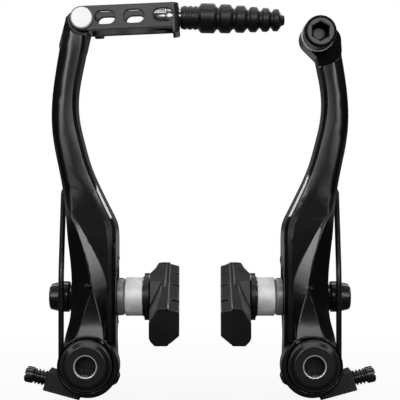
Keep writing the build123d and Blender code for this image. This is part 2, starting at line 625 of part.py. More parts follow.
for name, side in SIDES.items():
    with BuildPart() as pad:
        with BuildSketch(pad_top_plane(side, -PAD_HEIGHT)):
            with BuildLine():
                Polyline(
                    (PAD_BLOCK_BACK, -side * HALF_LENGTH),
                    *[(out, side * along) for along, out in PAD_PLAN],
                    (PAD_BLOCK_BACK, side * HALF_LENGTH),
                    close=True,
                )
            make_face()
        extrude(amount=2 * PAD_HEIGHT)
        # The body and the block both sag towards their ends.
        for height, out, amount, taper, mode in [
            (PAD_HEIGHT, PAD_FACE, PAD_FLANGE_BACK - PAD_FACE, 0, Mode.INTERSECT),
            (BLOCK_HEIGHT, PAD_BLOCK_BACK, PAD_FACE - PAD_BLOCK_BACK, BLOCK_TAPER, Mode.ADD),
        ]:
            end_top = height / 2 - PAD_SAG
            end_foot = -height / 2 - PAD_SAG
            with BuildSketch(pad_face_plane(side, out)):
                with BuildLine():
                    ThreePointArc((-HALF_LENGTH, end_top), (0, height / 2), (HALF_LENGTH, end_top))
                    Line((HALF_LENGTH, end_top), (HALF_LENGTH, end_foot))
                    ThreePointArc((HALF_LENGTH, end_foot), (0, -height / 2), (-HALF_LENGTH, end_foot))
                    Line((-HALF_LENGTH, end_foot), (-HALF_LENGTH, end_top))
                make_face()
            extrude(amount=amount, taper=taper, mode=mode)
        with BuildSketch(pad_end_plane(side, 0)):
            for bevel in PAD_BEVELS:
                with BuildLine():
                    Polyline(*bevel, close=True)
                make_face()
        extrude(amount=PAD_LENGTH, both=True, mode=Mode.SUBTRACT)
        # The saddle that carries the hub stands above the body and runs out towards the far end.
        with BuildPart(mode=Mode.PRIVATE) as saddle:
            with BuildSketch(pad_top_plane(side, -PAD_HEIGHT)):
                with BuildLine():
                    Polyline(*[(out, side * along) for out, along in SADDLE_PLAN], close=True)
                make_face()
            extrude(amount=2 * PAD_HEIGHT)
            with BuildSketch(pad_face_plane(side, 0)):
                with BuildLine():
                    Polyline(*[(side * along, height) for along, height in SADDLE_SIDE], close=True)
                make_face()
            extrude(amount=PAD_FLANGE_BACK, mode=Mode.INTERSECT)
        add(saddle.part)
        # The near end is bevelled up to a wall that leans back.
        with BuildSketch(pad_end_plane(side, NEAR_BEVEL_END, NEAR_BEVEL_LEAN)):
            with BuildLine():
                upright = cos(radians(NEAR_BEVEL_LEAN))
                Polyline(*[(out, height / upright) for out, height in NEAR_BEVEL], close=True)
            make_face()
        extrude(amount=PAD_LENGTH, dir=-pad_directions(side)[0], mode=Mode.SUBTRACT)
        with BuildSketch(stud_plane(side)):
            with BuildLine():
                Polyline(
                    (PAD_HOLE_END, 0),
                    (PAD_HOLE_END, PAD_HUB_RADIUS),
                    (PAD_FLANGE_FRONT, PAD_FLANGE_RADIUS - SEAM),
                    (PAD_FLANGE_FRONT + SEAM, PAD_FLANGE_RADIUS),
                    (PAD_FLANGE_BACK, PAD_FLANGE_RADIUS),
                    (PAD_FLANGE_BACK, 0),
                    close=True,
                )
            make_face()
        revolve(axis=stud_axis(side))
        with BuildSketch(across_stud(side, PAD_FLANGE_BACK)):
            Circle(STUD_RADIUS)
        extrude(amount=PAD_HOLE_END - PAD_FLANGE_BACK, mode=Mode.SUBTRACT)
        with BuildSketch(pad_face_plane(side, PAD_FACE)):
            with Locations(*[(side * along, 0) for along in GROOVE_PLACES]):
                Rectangle(GROOVE_WIDTH, 2 * PAD_HEIGHT, rotation=side * GROOVE_LEAN)
        extrude(amount=GROOVE_DEPTH, mode=Mode.SUBTRACT)
    pad.part.label = f"{name}_brake_pad"
    export_step(pad.part, f"parts/{name}_brake_pad.step")

for name, side in SIDES.items():
    with BuildPart() as stud:
        with BuildSketch(across_stud(side, PAD_HOLE_END)):
            Circle(STUD_RADIUS)
        extrude(amount=STUD_END - PAD_HOLE_END)
    stud.part.label = f"{name}_pad_stud"
    export_step(stud.part, f"parts/{name}_pad_stud.step")

for name, side in SIDES.items():
    with BuildPart() as pad_washer:
        with BuildSketch(across_stud(side, PAD_FLANGE_BACK)):
            Circle(PAD_WASHER_RADIUS)
            Circle(WASHER_BORE, mode=Mode.SUBTRACT)
        extrude(amount=PAD_WASHER_BACK - PAD_FLANGE_BACK)
    pad_washer.part.label = f"{name}_pad_washer"
    export_step(pad_washer.part, f"parts/{name}_pad_washer.step")

# The ball seats of the washers: each is a sphere through the dome's rim and the cup's rim.
INNER_SEAT = (ARM_INNER_FACE - DOME_RIM, DOME_RADIUS, SPACER_BACK, DOME_NOSE_RADIUS)
OUTER_SEAT = (ARM_OUTER_FACE + OUTER_RIM, OUTER_WASHER_RADIUS, CUP_FRONT, OUTER_NOSE_RADIUS)


def dome_washer(side, flat, seat):
    """A washer with one flat face and one ball face."""
    rim, radius, cup, cup_radius = seat
    nose = seat_end(*seat, WASHER_BORE)
    with BuildPart() as washer:
        with BuildSketch(stud_plane(side)):
            with BuildLine():
                Polyline((nose, WASHER_BORE), (flat, WASHER_BORE), (flat, radius), (rim, radius))
                ThreePointArc((rim, radius), (cup, cup_radius), (nose, WASHER_BORE))
            make_face()
        revolve(axis=stud_axis(side))
    return washer.part


def cup_washer(side, flat, outer_radius, seat):
    """A washer with one flat face and a hollow ball seat that takes the dome."""
    rim, radius, cup, cup_radius = seat
    nose = seat_end(*seat, WASHER_BORE)
    middle_radius = (cup_radius + WASHER_BORE) / 2
    middle = seat_end(*seat, middle_radius)
    with BuildPart() as washer:
        with BuildSketch(stud_plane(side)):
            with BuildLine():
                Polyline(
                    (nose, WASHER_BORE),
                    (flat, WASHER_BORE),
                    (flat, outer_radius),
                    (cup, outer_radius),
                    (cup, cup_radius),
                )
                ThreePointArc((cup, cup_radius), (middle, middle_radius), (nose, WASHER_BORE))
            make_face()
        revolve(axis=stud_axis(side))
    return washer.part


for name, side in SIDES.items():
    washers = {
        "inner_dome_washer": dome_washer(side, ARM_INNER_FACE, INNER_SEAT),
        "spacer": cup_washer(side, PAD_WASHER_BACK, SPACER_RADIUS, INNER_SEAT),
        "outer_dome_washer": dome_washer(side, ARM_OUTER_FACE, OUTER_SEAT),
        "outer_cup_washer": cup_washer(side, CUP_BACK, OUTER_WASHER_RADIUS, OUTER_SEAT),
    }
    for piece, washer in washers.items():
        washer.label = f"{name}_{piece}"
        export_step(washer, f"parts/{name}_{piece}.step")

for name, side in SIDES.items():
    with BuildPart() as nut:
        with BuildSketch(stud_plane(side)):
            with BuildLine():
                Polyline(
                    (CUP_BACK, 0),
                    (CUP_BACK, NUT_RADIUS),
                    (NUT_SHOULDER, NUT_RADIUS),
                    (NUT_END - NUT_CHAMFER, NUT_TIP_RADIUS),
                    (NUT_END, NUT_TIP_RADIUS - NUT_CHAMFER),
                    (NUT_END, 0),
                    close=True,
                )
            make_face()
        revolve(axis=stud_axis(side))
        with BuildSketch(across_stud(side, CUP_BACK)):
            Circle(STUD_RADIUS)
        extrude(amount=NUT_THREAD_END - CUP_BACK, mode=Mode.SUBTRACT)
        with BuildSketch(across_stud(side, NUT_THREAD_END)):
            RegularPolygon(HEX_SIZE / 2, 6, major_radius=False)
        extrude(amount=NUT_END - NUT_THREAD_END, mode=Mode.SUBTRACT)
    nut.part.label = f"{name}_shoe_nut"
    export_step(nut.part, f"parts/{name}_shoe_nut.step")

with BuildPart() as link:
    # A bent strip seen from above, then its side outline
    with BuildSketch(link_plan_plane(-2 * LINK_FOOT)):
        RectangleRounded(2 * LINK_LENGTH, LINK_DEPTH, LINK_BEND)
        RectangleRounded(
            2 * (LINK_LENGTH - LINK_SHEET), 2 * PLATE_GAP, LINK_BEND - LINK_SHEET, mode=Mode.SUBTRACT
        )
    extrude(amount=4 * LINK_FOOT)
    with BuildSketch(link_plane(LINK_DEPTH)):
        with BuildLine():
            CenterArc((0, 0), LINK_HALF_HEIGHT, 90, 180)
            Polyline(
                (0, -LINK_HALF_HEIGHT),
                (LINK_LENGTH - LINK_BEND, -LINK_HALF_HEIGHT),
                (LINK_LENGTH - LINK_BEND, -LINK_FOOT),
                (LINK_LENGTH, -LINK_FOOT),
                (LINK_LENGTH, LINK_HALF_HEIGHT),
                (0, LINK_HALF_HEIGHT),
            )
        make_face()
    extrude(amount=2 * LINK_DEPTH, mode=Mode.INTERSECT)
    with BuildSketch(link_plane(LINK_DEPTH / 2)):
        Circle(PIN_RADIUS + TURNING_PLAY)
        with Locations(*[(along, 0) for along in LINK_SLOTS]):
            SlotOverall(*LINK_SLOT_SIZE)
    extrude(amount=LINK_DEPTH, mode=Mode.SUBTRACT)
    with BuildSketch(link_plane(LINK_DEPTH / 2)):
        with Locations(TAB_PLACE):
            RectangleRounded(*TAB_SIZE, TAB_ROUND)
    extrude(amount=LINK_SHEET)
    with BuildSketch(boot_plane()):
        Rectangle(FERRULE_END, FERRULE_RADIUS, align=(Align.CENTER, Align.MIN))
    revolve(axis=boot_axis(), mode=Mode.SUBTRACT)
link.part.label = "link_channel"
export_step(link.part, "parts/link_channel.step")

with BuildPart() as ferrule:
    with BuildSketch(boot_plane()):
        with BuildLine():
            Polyline(
                (FERRULE_START, FERRULE_BORE),
                (FERRULE_START, FERRULE_FLANGE_RADIUS),
                (FERRULE_FLANGE_END, FERRULE_FLANGE_RADIUS),
                (FERRULE_FLANGE_END, FERRULE_RADIUS),
                (FERRULE_END, FERRULE_RADIUS),
                (FERRULE_END, FERRULE_BORE),
                close=True,
            )
        make_face()
    revolve(axis=boot_axis())
ferrule.part.label = "lead_ferrule"
export_step(ferrule.part, "parts/lead_ferrule.step")

with BuildPart() as boot:
    profile = [(BOOT_START, FERRULE_RADIUS), (BOOT_START, BOOT_LOBES[0][2] - BOOT_GROOVE)]
    for start, end, radius in BOOT_LOBES:
        profile += [
            (start, radius - BOOT_GROOVE),
            (start, radius - BOOT_ROUND),
            (start + BOOT_ROUND, radius),
            (end - BOOT_ROUND, radius),
            (end, radius - BOOT_ROUND),
            (end, radius - BOOT_GROOVE),
        ]
    profile += [
        (BOOT_LOBES[-1][1], BOOT_TIP[1]),
        BOOT_TIP,
        (BOOT_TIP[0], BOOT_BORE),
        (FERRULE_END, BOOT_BORE),
        (FERRULE_END, FERRULE_RADIUS),
    ]
    with BuildSketch(boot_plane()):
        with BuildLine():
            Polyline(*profile, close=True)
        make_face()
    revolve(axis=boot_axis())
boot.part.label = "cable_boot"
export_step(boot.part, "parts/cable_boot.step")

with BuildPart() as pin:
    pin_place = placed(SIDES["left"], [EYE_PLACE["left"]])[0]
    with BuildSketch(facing(PIN_REAR)):
        with Locations(pin_place):
            Circle(PIN_TAIL_RADIUS)
    extrude(amount=PIN_REAR + PIN_HEAD_BACK)
    with BuildSketch(facing(PIN_REAR)):
        with Locations(pin_place):
            Circle(PIN_RADIUS)
    extrude(amount=PIN_REAR - PIN_HEAD_FRONT)
    with BuildSketch(facing(PIN_HEAD_BACK)):
        with Locations(pin_place):
            Circle(PIN_HEAD_RADIUS)
    extrude(amount=PIN_HEAD_BACK - PIN_HEAD_FRONT)
    chamfer(pin.faces().sort_by(Axis.Y)[0].edges(), PIN_CHAMFER)
    chamfer(pin.faces().sort_by(Axis.Y)[-1].edges(), PIN_CHAMFER)
pin.part.label = "link_pin"
export_step(pin.part, "parts/link_pin.step")

clamp_place = EYE_PLACE["right"]

with BuildPart() as clamp_washer:
    with BuildSketch(facing(CLAMP_FACE)):
        with Locations(clamp_place):
            Circle(CLAMP_WASHER_RADIUS)
            Circle(STUD_RADIUS, mode=Mode.SUBTRACT)
    extrude(amount=CLAMP_FACE - CLAMP_WASHER_FRONT)
clamp_washer.part.label = "cable_clamp_washer"
export_step(clamp_washer.part, "parts/cable_clamp_washer.step")

with BuildPart() as clamp_bolt:
    with BuildSketch(facing(CLAMP_WASHER_FRONT)):
        with Locations(clamp_place):
            Circle(CLAMP_HEAD_RADIUS)
    extrude(amount=CLAMP_WASHER_FRONT - CLAMP_HEAD_FRONT)
    fillet(clamp_bolt.faces().sort_by(Axis.Y)[0].edges(), CLAMP_HEAD_ROUND)
    with BuildSketch(facing(CLAMP_BOLT_REAR)):
        with Locations(clamp_place):
            Circle(STUD_RADIUS)
    extrude(amount=CLAMP_BOLT_REAR - CLAMP_WASHER_FRONT)
    with BuildSketch(facing(CLAMP_HEAD_FRONT)):
        with Locations(clamp_place):
            RegularPolygon(HEX_SIZE / 2, 6, major_radius=False, rotation=30)
    extrude(amount=-SOCKET_DEPTH, mode=Mode.SUBTRACT)
    chamfer(clamp_bolt.faces().sort_by(Axis.Y)[0].inner_wires()[0].edges(), CLAMP_SOCKET_CHAMFER)
clamp_bolt.part.label = "cable_clamp_bolt"
export_step(clamp_bolt.part, "parts/cable_clamp_bolt.step")
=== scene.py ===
# %% [markdown]
# A linear-pull rim brake, dressed for a product picture.
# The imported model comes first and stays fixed: every piece below is placed in its frame, in metres, with
# X to the right, Y away from the viewer and Z up. The rest of the lesson gives the solids soft edges and
# real finishes, and remakes the few pieces that a plain solid can't show, such as the rubber boot.

# %% Load the frame
from math import cos, pi, radians, sin

import bmesh
import bpy
from mathutils import Matrix, Vector


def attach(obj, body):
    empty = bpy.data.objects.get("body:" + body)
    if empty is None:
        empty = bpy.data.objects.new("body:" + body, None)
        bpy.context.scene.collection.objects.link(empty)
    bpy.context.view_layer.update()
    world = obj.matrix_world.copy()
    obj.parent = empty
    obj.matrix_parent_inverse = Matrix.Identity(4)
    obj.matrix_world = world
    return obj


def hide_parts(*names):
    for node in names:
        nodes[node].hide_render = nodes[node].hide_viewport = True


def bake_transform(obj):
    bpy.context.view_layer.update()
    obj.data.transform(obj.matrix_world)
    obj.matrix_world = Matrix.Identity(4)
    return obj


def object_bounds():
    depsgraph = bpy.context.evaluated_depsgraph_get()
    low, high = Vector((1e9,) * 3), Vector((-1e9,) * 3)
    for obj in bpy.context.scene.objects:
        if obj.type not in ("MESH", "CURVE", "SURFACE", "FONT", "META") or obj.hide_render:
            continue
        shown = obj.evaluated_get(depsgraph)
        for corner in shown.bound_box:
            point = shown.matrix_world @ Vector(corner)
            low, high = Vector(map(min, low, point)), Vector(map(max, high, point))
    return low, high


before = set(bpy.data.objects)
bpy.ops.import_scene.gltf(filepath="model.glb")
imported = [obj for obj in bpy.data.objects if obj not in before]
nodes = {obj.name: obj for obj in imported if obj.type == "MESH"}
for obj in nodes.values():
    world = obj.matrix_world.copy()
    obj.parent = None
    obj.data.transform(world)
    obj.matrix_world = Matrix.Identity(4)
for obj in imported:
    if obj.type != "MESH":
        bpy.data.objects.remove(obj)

cad_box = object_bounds()
MM = 0.001
SIDES = {"left": -1, "right": 1}
print("solids:", len(nodes), "box:", [[round(v, 4) for v in corner] for corner in cad_box])


def stand(name, data):
    """A new object in the scene, at the origin."""
    thing = bpy.data.objects.new(name, data)
    bpy.context.collection.objects.link(thing)
    return thing


# %% [markdown]
# The camera stands where the photograph was taken from: square in front of the brake and level with the
# middle of its height. A long lens at a short distance gives the mild perspective that shows the shoes'
# outer ends. The lens follows from how much of the middle plane the picture is wide.

# %% Camera
CAMERA_DISTANCE = 0.285
CAMERA_HEIGHT = 0.0509
PICTURE_WIDTH = 0.12771
SENSOR = 36.0

camera_data = bpy.data.cameras.new("camera")
camera_data.sensor_width = SENSOR
camera_data.lens = SENSOR * CAMERA_DISTANCE / PICTURE_WIDTH
camera = stand("camera", camera_data)
camera.location = (0, -CAMERA_DISTANCE, CAMERA_HEIGHT)
camera.rotation_euler = (radians(90), 0, 0)
scene = bpy.context.scene
scene.camera = camera
scene.view_settings.view_transform = "Standard"
print("lens:", round(camera_data.lens, 2))

# %% [markdown]
# Finishes and repeated shapes are both trees of nodes. Wired by hand they soon fill pages, so one class
# stands for a socket and turns arithmetic on it into Math nodes, and another adds any node from its type,
# its settings and its sockets. The same two serve shaders and geometry.

# %% Wiring nodes
class Flow:
    """A socket in a node tree. Arithmetic on it adds Math nodes to that tree."""

    def __init__(self, bench, socket):
        self.bench = bench
        self.socket = socket

    def out(self, name):
        """Another output of the same node."""
        return Flow(self.bench, self.socket.node.outputs[name])

    def math(self, operation, *others):
        return self.bench.add("ShaderNodeMath", {"operation": operation}, dict(enumerate((self, *others))))

    def clamped(self):
        """Held between 0 and 1."""
        return self.math("MAXIMUM", 0.0).math("MINIMUM", 1.0)

    def __add__(self, other):
        return self.math("ADD", other)

    def __sub__(self, other):
        return self.math("SUBTRACT", other)

    def __rsub__(self, other):
        return self.bench.add("ShaderNodeMath", {"operation": "SUBTRACT"}, {0: other, 1: self})

    def __mul__(self, other):
        return self.math("MULTIPLY", other)

    def __truediv__(self, other):
        return self.math("DIVIDE", other)

    __radd__ = __add__
    __rmul__ = __mul__


class Bench:
    """A node tree that is being wired."""

    def __init__(self, tree):
        self.tree = tree

    def add(self, kind, settings=(), sockets=(), output=0):
        """Adds a node: its type, its settings, then the values or links of its sockets."""
        node = self.tree.nodes.new(kind)
        for name, value in dict(settings).items():
            setattr(node, name, value)
        for name, value in dict(sockets).items():
            if isinstance(value, Flow):
                self.tree.links.new(value.socket, node.inputs[name])
            else:
                node.inputs[name].default_value = value
        return Flow(self, node.outputs[output]) if len(node.outputs) else None

    def mix(self, share, first, second):
        """A colour between two, by a share from 0 to 1."""
        return self.add("ShaderNodeMix", {"data_type": "RGBA"}, {0: share, 6: first, 7: second}, 2)


def grey(level):
    """A neutral colour."""
    return (level, level, level, 1.0)


# %% [markdown]
# The real part stands on nothing: it was photographed on white. Here a pale floor lies just under it, so
# that other views have a shadow to stand on. Floor and world are white to the camera and light the brake
# only at a plain level. Glossy black shows what stands round it more than its own colour, so for mirrored
# rays the room is dim, and the floor pales behind the brake and in two spots in front of the bolts. Each
# lamp has one task, found from where a face mirrors to: a pair of boxes for the lower facets, a pair for the
# bars, a strip for the wedges over the bolts, a pair at the sides for the washers, and the rest for the top
# and the back.

# %% Floor, world and lamps
FLOOR_DROP = 0.4 * MM
FLOOR_SIZE = 6.0
# Share of the floor's own white under the brake, and how much it gains with each metre
FLOOR_GLOW = 0.9
FLOOR_GAIN = 0.6
FLOOR_SHADE = 0.4
# What mirrored rays see: the floor's palest level, where its two spots lie, and how far back it pales
FLOOR_MIRROR = 0.30
FLOOR_PALE_REACH = 0.20
SPOT_OUT = 0.048
SPOT_FRONT = 0.085
SPOT_REACH = 0.040
WORLD_LIGHT = 0.10
WORLD_MIRROR = 0.02
WORLD_MIRROR_BEHIND = 0.07
# The world pales behind the brake from this share of a full look backwards, over this much more
BEHIND_FROM = 0.6
BEHIND_OVER = 0.3


def paint_world():
    world = bpy.data.worlds.new("studio")
    world.use_nodes = True
    world.node_tree.nodes.clear()
    bench = Bench(world.node_tree)
    rays = bench.add("ShaderNodeLightPath", output="Is Camera Ray")
    mirrored = rays.out("Is Glossy Ray").math("MAXIMUM", rays.out("Is Transmission Ray"))
    towards = bench.add("ShaderNodeTexCoord", output="Generated")
    back = bench.add("ShaderNodeSeparateXYZ", sockets={0: towards}, output="Y")
    share = ((back - BEHIND_FROM) / BEHIND_OVER).clamped()
    mirror = share * (WORLD_MIRROR_BEHIND - WORLD_MIRROR) + WORLD_MIRROR
    strength = rays * (1 - WORLD_LIGHT) + mirrored * (mirror - WORLD_LIGHT) + WORLD_LIGHT
    shader = bench.add("ShaderNodeBackground", sockets={"Color": grey(1.0), "Strength": strength})
    bench.add("ShaderNodeOutputWorld", sockets={"Surface": shader})
    scene.world = world


def paint_floor():
    material = bpy.data.materials.new("pale_floor")
    material.use_nodes = True
    material.node_tree.nodes.clear()
    bench = Bench(material.node_tree)
    rays = bench.add("ShaderNodeLightPath", output="Is Camera Ray")
    mirrored = rays.out("Is Glossy Ray").math("MAXIMUM", rays.out("Is Transmission Ray"))
    place = bench.add("ShaderNodeTexCoord", output="Object")
    far = bench.add("ShaderNodeVectorMath", {"operation": "LENGTH"}, {0: place}, "Value")
    split = bench.add("ShaderNodeSeparateXYZ", sockets={0: place}, output="Y")
    across = split.out("X").math("ABSOLUTE") - SPOT_OUT
    ahead = split + SPOT_FRONT
    spot = 1 - (across * across + ahead * ahead).math("SQRT") / SPOT_REACH
    pale = spot.math("MAXIMUM", split / FLOOR_PALE_REACH).clamped()
    glow = rays * (far * FLOOR_GAIN + FLOOR_GLOW).math("MINIMUM", 1.0) + mirrored
    mirror = bench.mix(pale, grey(WORLD_MIRROR), grey(FLOOR_MIRROR))
    seen = bench.mix(rays, mirror, grey(1.0))
    matt = bench.add("ShaderNodeBsdfDiffuse", sockets={"Color": grey(FLOOR_SHADE)})
    white = bench.add("ShaderNodeEmission", sockets={"Color": seen, "Strength": 1.0})
    shader = bench.add("ShaderNodeMixShader", sockets={0: glow, 1: matt, 2: white})
    bench.add("ShaderNodeOutputMaterial", sockets={"Surface": shader})
    return material


def lay_floor():
    height = cad_box[0][2] - FLOOR_DROP
    half = FLOOR_SIZE / 2
    mesh = bpy.data.meshes.new("floor")
    corners = [(-half, -half, height), (half, -half, height), (half, half, height), (-half, half, height)]
    mesh.from_pydata(corners, [], [(0, 1, 2, 3)])
    mesh.materials.append(paint_floor())
    floor = stand("floor", mesh)


def hang_lamp(name, place, aim, size, power):
    """A rectangular soft box of this width and height, turned to face a point."""
    lamp_data = bpy.data.lights.new(name, "AREA")
    lamp_data.shape = "RECTANGLE"
    lamp_data.size, lamp_data.size_y = size
    lamp_data.energy = power
    lamp = stand(name, lamp_data)
    lamp.location = place
    lamp.rotation_euler = (Vector(aim) - Vector(place)).to_track_quat("-Z", "Y").to_euler()


# Each lamp's place, the point that it faces, its width and height, and its power, which may differ by side
PAIRED_LAMPS = {
    "facet_box": ((0.43, -0.80, 0.43), (0, 0, 0.06), (0.22, 0.36), {"left": 2.3, "right": 2.3}),
    "bar_box": ((0.44, -0.80, 0.18), (0, 0, 0.10), (0.36, 0.16), {"left": 0.60, "right": 0.50}),
    "side_box": ((0.80, -0.05, 0.56), (0, 0, 0.05), (0.30, 0.14), {"left": 0.7, "right": 0.7}),
    "rear_box": ((0.52, 0.75, 0.44), (0, 0, 0.06), (0.26, 0.40), {"left": 2.4, "right": 2.4}),
}
MIDDLE_LAMPS = {
    "wedge_strip": ((0.0, -0.80, 0.37), (0, 0, 0.10), (0.34, 0.12), 1.2),
    "top_box": ((0.0, -0.10, 0.60), (0, 0, 0.05), (0.60, 0.20), 1.0),
    "back_box": ((0.0, 0.42, 0.75), (0, 0, 0.05), (0.90, 0.25), 2.0),
}

paint_world()
lay_floor()
for name, (place, aim, size, powers) in PAIRED_LAMPS.items():
    for side_name, side in SIDES.items():
        out, depth, height = place
        hang_lamp(f"{name}_{side_name}", (side * out, depth, height), aim, size, powers[side_name])
for name, lamp in MIDDLE_LAMPS.items():
    hang_lamp(name, *lamp)
print("lamps:", len(PAIRED_LAMPS) * len(SIDES) + len(MIDDLE_LAMPS))

# %% [markdown]
# Nearly everything on this brake is black, and what tells the pieces apart is how they shine: satin paint
# on the forged arms, oiled black steel on the fasteners, dull rubber on the shoes. One function makes all
# of these finishes. A cloudy noise shifts colour and gloss over millimetres or centimetres, a fine grain
# roughens the surface over tenths of a millimetre, and an optional pattern adds that piece's tool marks. A
# zone gives one place on a piece a colour of its own. Here the zones paint a highlight as a bright ring
# round a bolt's socket, and paint shade as near-black on a bolt head's edge and socket and on a deep recess.

# %% Finishes
# How far the cloud outweighs the grain, then where their sum starts to count and how steeply
CLOUD_WEIGHT = 0.7
CLOUD_FROM = 0.3
CLOUD_GAIN = 2.5
BUMP_STRENGTH = 0.6


def from_axis(bench, place, axis_out, axis_height):
    """Distance from an axis along Y that stands this far from the middle on both sides, and the depth."""
    split = bench.add("ShaderNodeSeparateXYZ", sockets={0: place}, output="X")
    across = split.math("ABSOLUTE") - axis_out
    up = split.out("Z") - axis_height
    return (across * across + up * up).math("SQRT"), split.out("Y")


def lathe_rings(axis_out, axis_height, pitch):
    """Turning marks round such an axis."""

    def height(bench, place):
        radius, _ = from_axis(bench, place, axis_out, axis_height)
        return (radius * (2 * pi / pitch)).math("SINE")

    return height


def painted_highlight_rim(axis_out, axis_height, inner, outer):
    """A zone between two radii: a bright ring round a socket's mouth, painted as a highlight."""

    def cover(bench, place):
        radius, _ = from_axis(bench, place, axis_out, axis_height)
        return radius.math("GREATER_THAN", inner) * radius.math("LESS_THAN", outer)

    return cover


def head_shadow(axis_out, axis_height, face_radius, side_radius, floor_radius, mouth):
    """Painted shade on the rounded edge of a bolt's head and in its socket, but for the drilled floor."""

    def cover(bench, place):
        radius, depth = from_axis(bench, place, axis_out, axis_height)
        socket = depth.math("GREATER_THAN", mouth) * radius.math("GREATER_THAN", floor_radius)
        socket = socket * radius.math("LESS_THAN", face_radius)
        edge = radius.math("GREATER_THAN", face_radius) * radius.math("LESS_THAN", side_radius)
        return socket.math("MAXIMUM", edge)

    return cover


def on_face(depth, reach, height):
    """A flat face across Y and above a height."""

    def cover(bench, place):
        split = bench.add("ShaderNodeSeparateXYZ", sockets={0: place}, output="Y")
        near = (split - depth).math("ABSOLUTE").math("LESS_THAN", reach)
        return near * split.out("Z").math("GREATER_THAN", height)

    return cover


def turned_along(output, pitch):
    """Turning marks or drawing marks across one of the frame's axes."""

    def height(bench, place):
        along = bench.add("ShaderNodeSeparateXYZ", sockets={0: place}, output=output)
        return (along * (2 * pi / pitch)).math("SINE")

    return height


def brushed(stretch):
    """Fine scratches: a noise drawn out along the piece."""

    def height(bench, place):
        mapped = bench.add("ShaderNodeMapping", sockets={"Vector": place, "Scale": stretch})
        return bench.add("ShaderNodeTexNoise", sockets={"Vector": mapped, "Scale": 1.0, "Detail": 2.0})

    return height


def make_finish(
    name, dark, light, cloud, gloss, grain, depth, marks=None, marks_share=0.4, zones=(), metal=0.0, **fixed
):
    """A finish: two colours and two roughnesses that a cloud goes between, and a grain of this size.

    Each zone is a place on the piece, with its own colour and share of metal."""
    material = bpy.data.materials.new(name)
    material.use_nodes = True
    material.node_tree.nodes.clear()
    bench = Bench(material.node_tree)
    place = bench.add("ShaderNodeTexCoord", output="Object")
    clouds = bench.add(
        "ShaderNodeTexNoise", sockets={"Vector": place, "Scale": 1 / cloud, "Detail": 4.0, "Roughness": 0.6}
    )
    specks = bench.add(
        "ShaderNodeTexNoise", sockets={"Vector": place, "Scale": 1 / grain, "Detail": 2.0, "Roughness": 0.5}
    )
    mottle = clouds * CLOUD_WEIGHT + specks * (1 - CLOUD_WEIGHT)
    share = ((mottle - CLOUD_FROM) * CLOUD_GAIN).clamped()
    relief = specks
    if marks:
        relief = specks * (1 - marks_share) + marks(bench, place) * marks_share
    bump = bench.add(
        "ShaderNodeBump", sockets={"Strength": BUMP_STRENGTH, "Distance": depth, "Height": relief}
    )
    colour = bench.mix(share, dark, light)
    for cover, tone, zone_metal in zones:
        covered = cover(bench, place)
        colour = bench.mix(covered, colour, tone)
        metal = covered * zone_metal + (1 - covered) * metal
    shader = bench.add("ShaderNodeBsdfPrincipled", sockets={
        "Base Color": colour,
        "Metallic": metal,
        "Roughness": share * (gloss[1] - gloss[0]) + gloss[0],
        "Normal": bump,
        **fixed,
    })
    bench.add("ShaderNodeOutputMaterial", sockets={"Surface": shader})
    return material


# Axes as the distance out from the middle and the height
CAP_AXIS = (35 * MM, 0.0)
CAP_HIGHLIGHT_RIM = (3.25 * MM, 3.6 * MM)
PIN_AXIS = (37 * MM, 107.8 * MM)
CLAMP_AXIS = (37.1 * MM, 102.8 * MM)
CLAMP_FACE_RADIUS = 4.05 * MM
CLAMP_SIDE_RADIUS = 4.9 * MM
CLAMP_FLOOR_RADIUS = 1.7 * MM
CLAMP_MOUTH = -10.75 * MM
RECESS_FACE = -3.4 * MM
RECESS_REACH = 0.2 * MM
RECESS_FROM = 90 * MM

# The recess face round the clamp bolt is painted shade: near-black and almost all metal, so that it mirrors
# no lamp.
satin_paint = make_finish(
    "satin_paint", grey(0.0015), grey(0.003), 25 * MM, (0.22, 0.27), 0.35 * MM, 0.004 * MM,
    zones=[(on_face(RECESS_FACE, RECESS_REACH, RECESS_FROM), grey(0.002), 0.95)],
)
oiled_steel = make_finish(
    "oiled_steel", grey(0.004), grey(0.009), 6 * MM, (0.22, 0.32), 0.25 * MM, 0.004 * MM,
    **{"Coat Weight": 0.3, "Coat Roughness": 0.15},
)
# The bright ring round the pivot bolt's socket is a painted highlight.
turned_black = make_finish(
    "turned_black", grey(0.005), grey(0.010), 6 * MM, (0.26, 0.36), 0.25 * MM, 0.004 * MM,
    marks=lathe_rings(*CAP_AXIS, 0.22 * MM), zones=[(painted_highlight_rim(*CAP_AXIS, *CAP_HIGHLIGHT_RIM), grey(0.45), 0.3)],
)
# The near-black zone on the clamp bolt's rounded edge and in its socket is painted shade.
clamp_black = make_finish(
    "clamp_black", grey(0.040), grey(0.060), 6 * MM, (0.34, 0.44), 0.25 * MM, 0.006 * MM,
    marks=lathe_rings(*CLAMP_AXIS, 0.25 * MM),
    zones=[(
        head_shadow(*CLAMP_AXIS, CLAMP_FACE_RADIUS, CLAMP_SIDE_RADIUS, CLAMP_FLOOR_RADIUS, CLAMP_MOUTH),
        grey(0.002),
        0.9,
    )],
)
bright_zinc = make_finish(
    "bright_zinc", grey(0.70), grey(0.82), 3 * MM, (0.34, 0.44), 0.2 * MM, 0.003 * MM, metal=0.4,
)
turned_steel = make_finish(
    "turned_steel", grey(0.34), grey(0.46), 5 * MM, (0.24, 0.34), 0.2 * MM, 0.004 * MM,
    marks=turned_along("Y", 0.3 * MM), metal=1.0,
)
stud_steel = make_finish(
    "stud_steel", grey(0.34), grey(0.46), 5 * MM, (0.26, 0.36), 0.2 * MM, 0.05 * MM,
    marks=turned_along("X", 1.0 * MM), marks_share=0.95, metal=1.0,
)
spring_steel = make_finish(
    "spring_steel", grey(0.012), grey(0.030), 4 * MM, (0.26, 0.36), 0.2 * MM, 0.003 * MM,
    marks=brushed((4000, 4000, 250)), metal=0.8,
)
